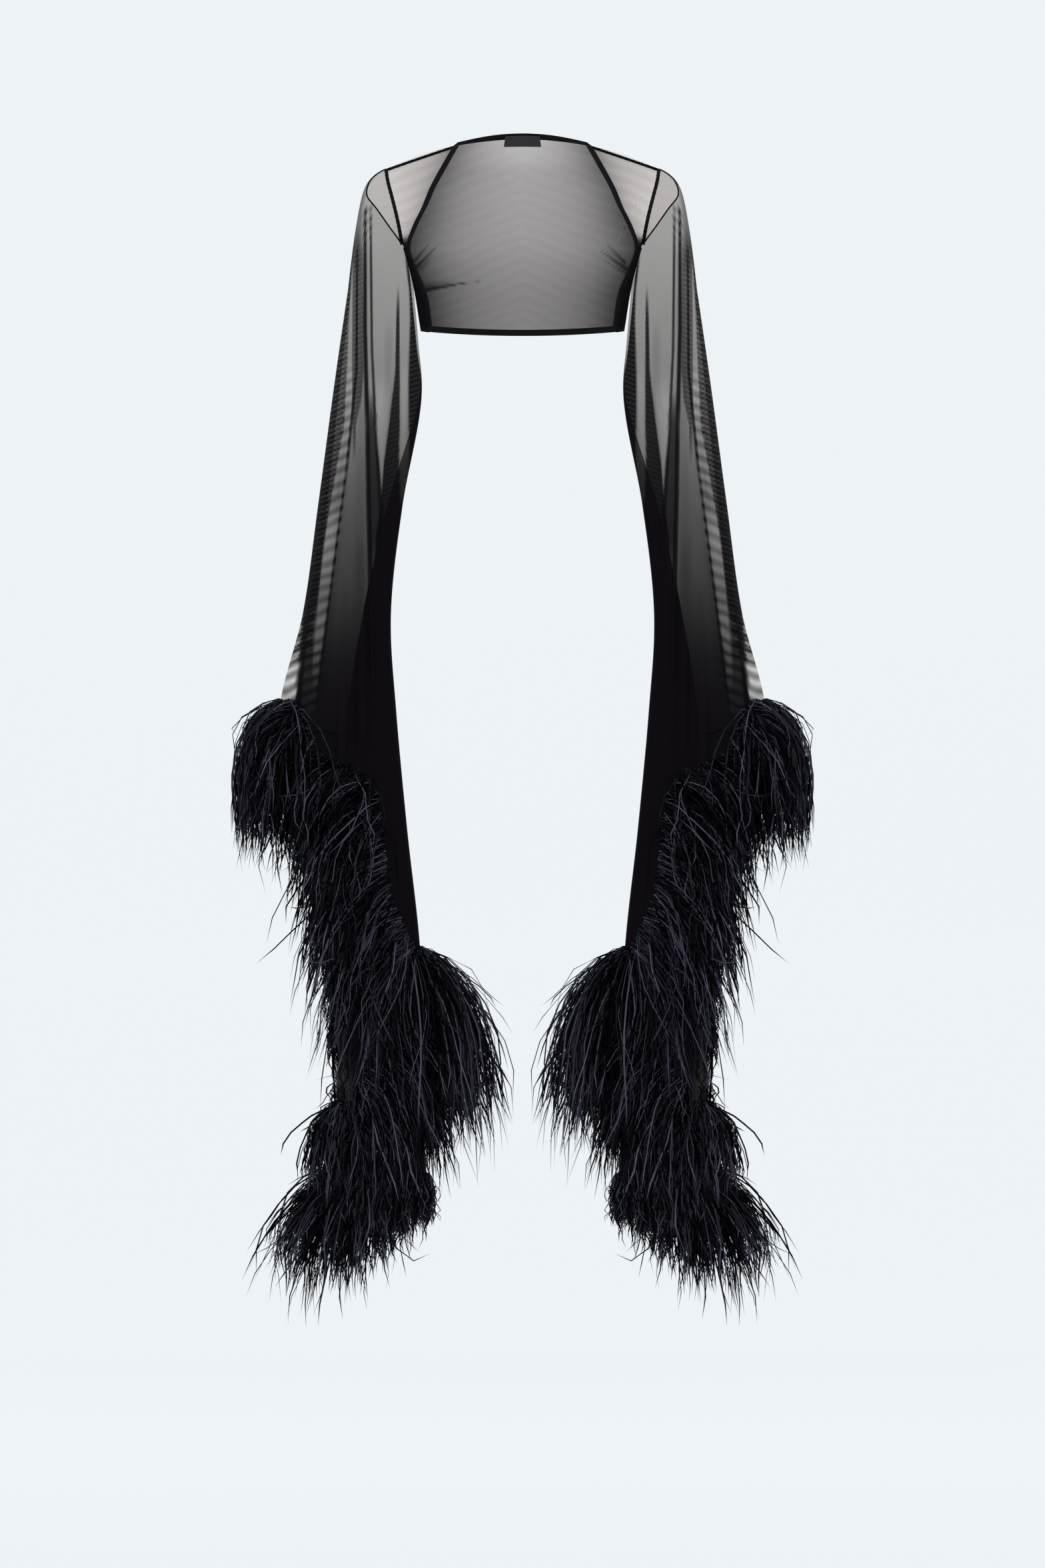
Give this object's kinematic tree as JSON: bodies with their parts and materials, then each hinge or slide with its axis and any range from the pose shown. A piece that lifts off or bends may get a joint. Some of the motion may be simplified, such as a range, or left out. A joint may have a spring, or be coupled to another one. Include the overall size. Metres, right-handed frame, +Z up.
{
  "type": "feather shrug",
  "caption": "Sheer black net bolero shrug with very long flared sleeves, their slanted hems falling in folds and edged with ostrich feather.",
  "frame": {"origin": "the wearer's nape, at the middle of the back neck binding, where the garment is held up", "axes": "+X to the right of the front view, which is the wearer's left, +Y out of the back, +Z up; the open front faces -Y"},
  "size_m": [0.8368, 0.2834, 1.643],
  "materials": {
    "net": "sheer fine stretch net, matt black",
    "binding": "folded black net binding, close and matt",
    "label": "plain woven black satin label, bare",
    "feather": "black ostrich feather barbs with a faint blue sheen"
  },
  "bodies": {
    "root": {"back_panel": "net", "front_panel_left": "net", "front_panel_right": "net", "sleeve_left": "net", "sleeve_right": "net", "neck_binding": "binding", "front_binding_left": "binding", "front_binding_right": "binding", "hem_binding": "binding", "neck_label": "label", "feather_front_left": "feather", "feather_front_right": "feather", "feather_inner_fold_left": "feather", "feather_inner_fold_right": "feather", "feather_lower_fold_left": "feather", "feather_lower_fold_right": "feather", "feather_back_left": "feather", "feather_back_right": "feather"}
  },
  "joints": []
}
